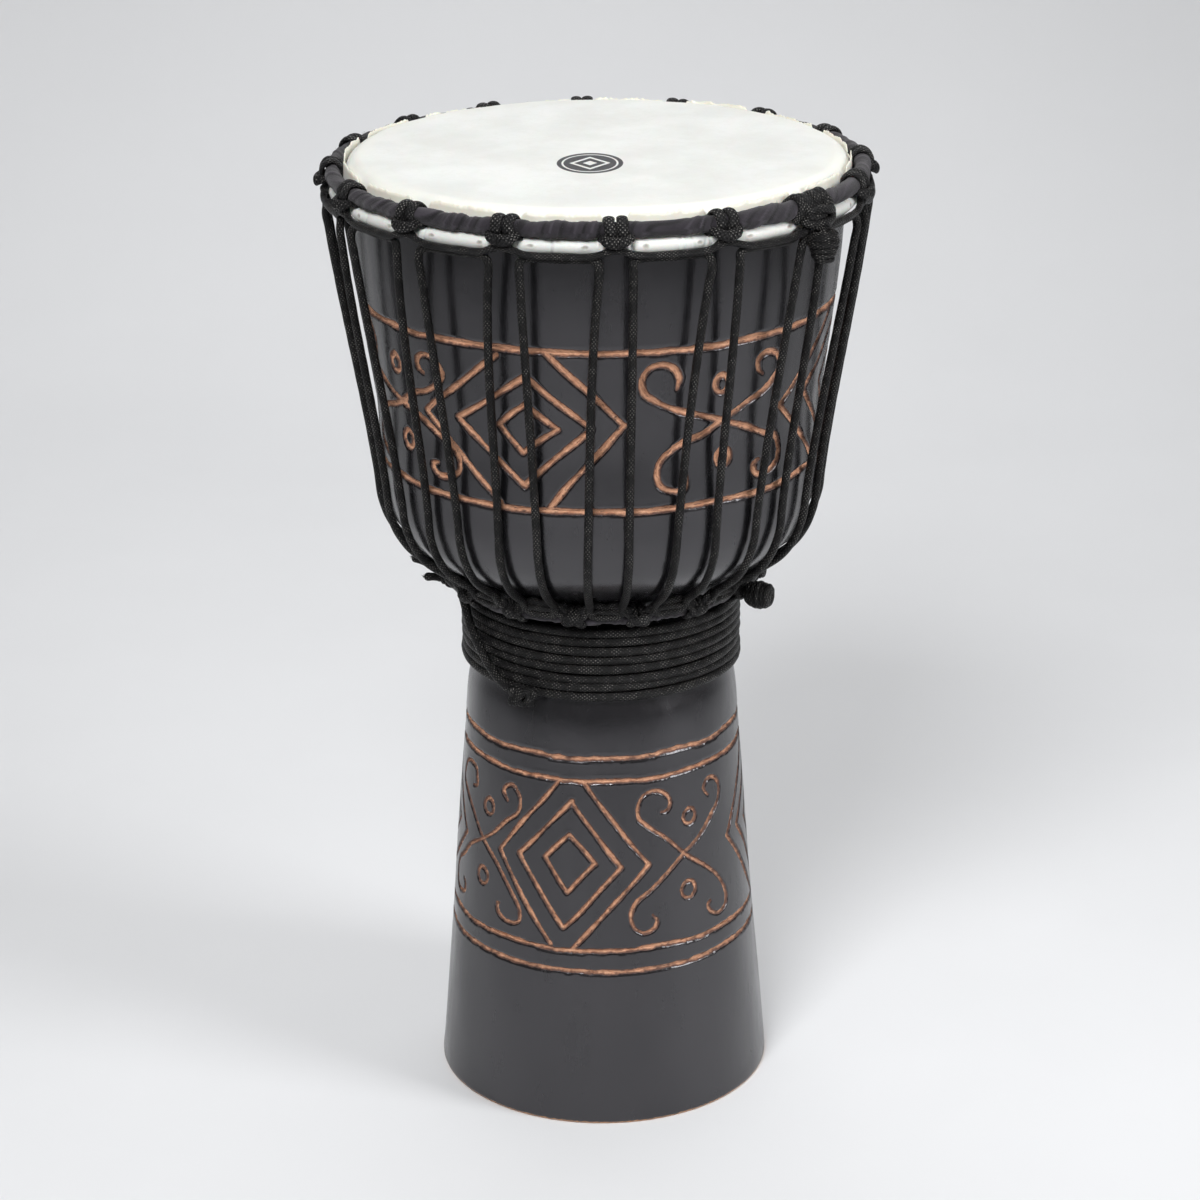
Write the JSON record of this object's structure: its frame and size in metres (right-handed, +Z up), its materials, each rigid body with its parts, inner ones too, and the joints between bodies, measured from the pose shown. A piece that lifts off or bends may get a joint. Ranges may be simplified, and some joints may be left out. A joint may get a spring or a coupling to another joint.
{
  "type": "djembe drum",
  "caption": "Rope-tuned goblet hand drum: carved wooden shell, white skin head gripped by two rings, rope lacing down the bowl and a rope winding round the neck.",
  "frame": {"origin": "on the drum's axis, on the plane of the foot's rim", "axes": "+Z up the drum's axis towards the head, -Y towards the front, +X to the right of a viewer in front"},
  "size_m": [0.3365, 0.3364, 0.61],
  "materials": {
    "painted_wood": "satin charcoal paint, bare coppery wood in the carved lines",
    "goat_skin": "matt bleached goat skin, slightly yellow at the trimmed edge",
    "ring_steel": "plain round bar",
    "ring_cloth": "dark grey cotton strip wound in a spiral",
    "black_rope": "braided black polyester"
  },
  "bodies": {
    "shell": {"shell": "painted_wood", "drumhead_skin": "goat_skin", "waist_ring": "ring_steel", "waist_ring_wrap": "ring_cloth", "waist_loop_rope": "black_rope", "lacing_rope": "black_rope", "neck_winding": "black_rope", "tie_strand": "black_rope", "waist_stopper_knot": "black_rope", "tie_knot": "black_rope", "upper_rope_end": "black_rope", "lower_rope_end": "black_rope"},
    "crown": {"crown_ring": "ring_steel", "crown_ring_wrap": "ring_cloth", "crown_loop_rope": "black_rope", "flesh_ring": "ring_steel", "crown_stopper_knot": "black_rope"}
  },
  "joints": [
    {"name": "tuning_slide", "type": "slide", "parent": "shell", "child": "crown", "axis": [0, 0, -1], "range_m": [0, 0.006], "deforming": ["drumhead_skin", "lacing_rope"]}
  ]
}
